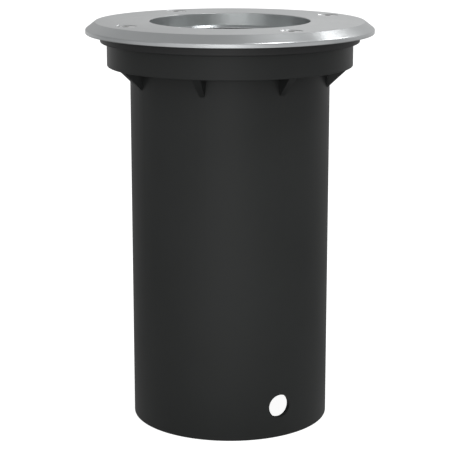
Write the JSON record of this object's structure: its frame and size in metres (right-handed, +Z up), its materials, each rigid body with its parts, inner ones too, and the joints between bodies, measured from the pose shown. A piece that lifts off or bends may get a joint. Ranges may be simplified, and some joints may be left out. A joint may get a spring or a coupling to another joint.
{
  "type": "in ground well light",
  "caption": "Round recessed ground light: steel trim ring and glass over a lamp housing that drops into an open plastic mounting sleeve with a side cable hole.",
  "frame": {"origin": "centre of the sleeve's open foot, on the surface that it stands on", "axes": "+Z up along the light's axis, -Y through the cable hole in the sleeve"},
  "size_m": [0.11, 0.11, 0.1553],
  "materials": {
    "black_plastic": "moulded, fine satin",
    "black_coated_metal": "black powder coat",
    "brushed_stainless": "satin stainless steel",
    "screw_stainless": "stainless steel",
    "seal_rubber": "black silicone",
    "clear_glass": "clear toughened glass",
    "reflector_aluminium": "satin spun aluminium",
    "lamp_shell": "white coat",
    "lamp_lens": "frosted",
    "led_plate": "white solder mask",
    "led_chip": "yellow phosphor",
    "circuit_board": "green solder mask",
    "nickel_pin": "nickel plated",
    "holder_ceramic": "glazed ivory ceramic",
    "contact_brass": "stamped brass",
    "zinc_sheet": "zinc plated sheet steel",
    "zinc_screw": "zinc plated steel",
    "block_plastic": "off-white plastic",
    "lead_brown": "silicone insulation",
    "lead_blue": "silicone insulation",
    "lead_green_yellow": "silicone insulation",
    "tinned_copper": "tinned copper",
    "gland_nylon": "black nylon"
  },
  "bodies": {
    "sleeve": {"mounting_sleeve": "black_plastic"},
    "housing": {"lamp_housing": "black_coated_metal", "lower_gasket": "seal_rubber", "reflector": "reflector_aluminium", "lampholder_body": "holder_ceramic", "lampholder_contacts": "contact_brass", "lampholder_bracket": "zinc_sheet", "holder_screws": "zinc_screw", "bracket_screws": "zinc_screw", "terminal_block": "block_plastic", "terminal_clamps": "contact_brass", "terminal_screws": "zinc_screw", "lead_live": "lead_brown", "lead_neutral": "lead_blue", "lead_earth": "lead_green_yellow", "earth_terminal": "tinned_copper", "earth_screw": "contact_brass", "gland_body": "gland_nylon", "gland_washer": "seal_rubber", "gland_lock_nut": "gland_nylon", "gland_seal": "seal_rubber"},
    "trim": {"trim_ring": "brushed_stainless"},
    "glass": {"glass_cover": "clear_glass", "upper_gasket": "seal_rubber"},
    "lamp": {"lamp_body": "lamp_shell", "lamp_front_lens": "lamp_lens", "lamp_led_plate": "led_plate", "lamp_led_chips": "led_chip", "lamp_driver_board": "circuit_board", "lamp_pins": "nickel_pin"},
    "dome_nut": {"gland_dome_nut": "gland_nylon"},
    "screw_right": {"trim_screw_right": "screw_stainless"},
    "screw_back": {"trim_screw_back": "screw_stainless"},
    "screw_left": {"trim_screw_left": "screw_stainless"},
    "screw_front": {"trim_screw_front": "screw_stainless"}
  },
  "joints": [
    {"name": "unit_lift", "type": "slide", "parent": "sleeve", "child": "housing", "axis": [0, 0, 1], "range_m": [0, 0.125]},
    {"name": "trim_lift", "type": "slide", "parent": "housing", "child": "trim", "axis": [0, 0, 1], "range_m": [0, 0.06]},
    {"name": "glass_lift", "type": "slide", "parent": "housing", "child": "glass", "axis": [0, 0, 1], "range_m": [0, 0.03]},
    {"name": "lamp_twist", "type": "hinge", "parent": "housing", "child": "lamp", "pos_m": [0, 0, 0.09], "axis": [0, 0, 1], "range_deg": [0, 25]},
    {"name": "dome_nut_turn", "type": "hinge", "parent": "housing", "child": "dome_nut", "pos_m": [0, 0, 0.04], "axis": [0, 0, 1], "range_deg": [0, 720]},
    {"name": "screw_right_out", "type": "slide", "parent": "trim", "child": "screw_right", "axis": [0, 0, 1], "range_m": [0, 0.008]},
    {"name": "screw_back_out", "type": "slide", "parent": "trim", "child": "screw_back", "axis": [0, 0, 1], "range_m": [0, 0.008]},
    {"name": "screw_left_out", "type": "slide", "parent": "trim", "child": "screw_left", "axis": [0, 0, 1], "range_m": [0, 0.008]},
    {"name": "screw_front_out", "type": "slide", "parent": "trim", "child": "screw_front", "axis": [0, 0, 1], "range_m": [0, 0.008]}
  ],
  "couplings": [
    {"joint": "glass_lift", "follows": "trim_lift", "ratio": 0.5}
  ]
}
